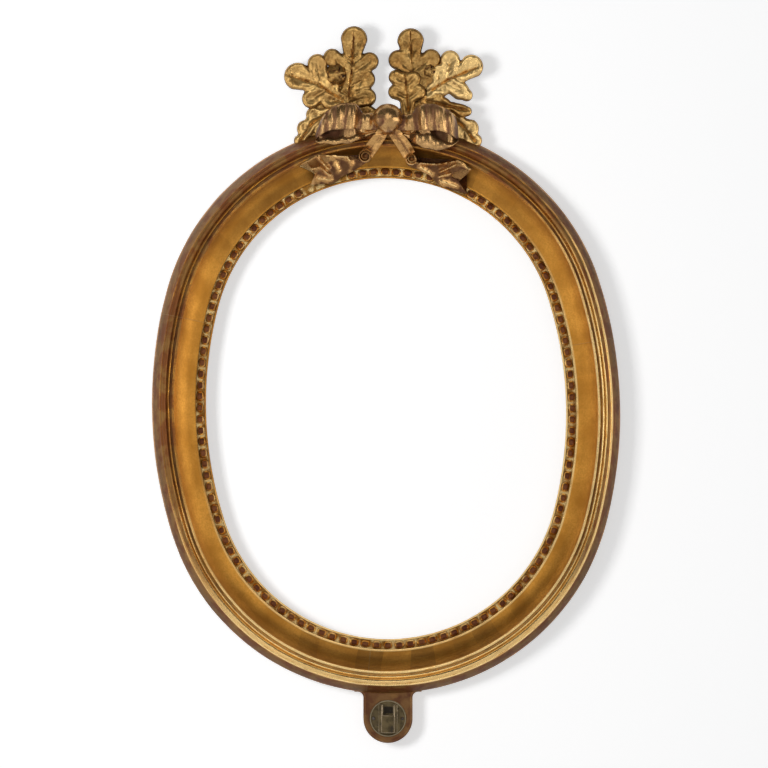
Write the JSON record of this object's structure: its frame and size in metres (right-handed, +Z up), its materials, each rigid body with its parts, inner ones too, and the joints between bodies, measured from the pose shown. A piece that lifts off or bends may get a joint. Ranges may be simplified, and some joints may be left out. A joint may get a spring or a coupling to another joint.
{
  "type": "oval picture frame",
  "caption": "Carved giltwood oval picture frame with pearl beading, an oak-leaf and ribbon-bow crest, a socketed foot tongue, a wall hanger and turn buttons.",
  "frame": {"origin": "on the back plane of the wood, level with the pivot of the hanger ring", "axes": "+Z up, -Y towards the viewer of the frame's front, +X to that viewer's right"},
  "size_m": [0.4126, 0.0653, 0.6313],
  "materials": {
    "gilded_moulding": "gold leaf over red bole, worn at the edges",
    "gilded_pearls": "gold leaf, dark in the hollows",
    "gilded_leaves": "matt gold leaf with dark outlines",
    "gilded_ribbon": "burnished gold leaf rubbed through to the bole",
    "bare_wood": "old planed wood",
    "worn_bole": "bole with traces of gold",
    "dull_brass": "dull and tarnished",
    "hanger_brass": "old brass",
    "iron": "dark"
  },
  "bodies": {
    "frame": {"rail_upper_left": "gilded_moulding", "rail_upper_right": "gilded_moulding", "rail_lower_left": "gilded_moulding", "rail_lower_right": "gilded_moulding", "pearls_upper_left": "gilded_pearls", "pearls_upper_right": "gilded_pearls", "pearls_lower_left": "gilded_pearls", "pearls_lower_right": "gilded_pearls", "oak_spray_left": "gilded_leaves", "oak_spray_right": "gilded_leaves", "bow_loop_left": "gilded_ribbon", "bow_loop_right": "gilded_ribbon", "bow_knot": "gilded_ribbon", "bow_tail_left": "gilded_ribbon", "bow_tail_right": "gilded_ribbon", "back_ring_top": "bare_wood", "back_ring_left": "bare_wood", "back_ring_bottom": "bare_wood", "back_ring_right": "bare_wood", "crest_dowels": "bare_wood", "foot_tongue": "worn_bole", "socket_plate": "dull_brass", "socket_sleeve": "dull_brass", "socket_nails": "iron", "hanger_plate": "hanger_brass", "hanger_screws": "iron", "button_screws": "iron"},
    "hanger_ring": {"hanger_ring": "hanger_brass"},
    "turn_button_upper_right": {"turn_button_upper_right": "hanger_brass"},
    "turn_button_upper_left": {"turn_button_upper_left": "hanger_brass"},
    "turn_button_lower_left": {"turn_button_lower_left": "hanger_brass"},
    "turn_button_lower_right": {"turn_button_lower_right": "hanger_brass"}
  },
  "joints": [
    {"name": "hanger_ring_swing", "type": "hinge", "parent": "frame", "child": "hanger_ring", "pos_m": [0, 0.0044, 0], "axis": [1, 0, 0], "range_deg": [0, 180]},
    {"name": "turn_button_upper_right_turn", "type": "hinge", "parent": "frame", "child": "turn_button_upper_right", "pos_m": [0.13681, 0, -0.08784], "axis": [0, 1, 0], "continuous": true},
    {"name": "turn_button_upper_left_turn", "type": "hinge", "parent": "frame", "child": "turn_button_upper_left", "pos_m": [-0.14463, 0, -0.0957], "axis": [0, -1, 0], "continuous": true},
    {"name": "turn_button_lower_left_turn", "type": "hinge", "parent": "frame", "child": "turn_button_lower_left", "pos_m": [-0.13681, 0, -0.37552], "axis": [0, 1, 0], "continuous": true},
    {"name": "turn_button_lower_right_turn", "type": "hinge", "parent": "frame", "child": "turn_button_lower_right", "pos_m": [0.14463, 0, -0.36766], "axis": [0, -1, 0], "continuous": true}
  ]
}
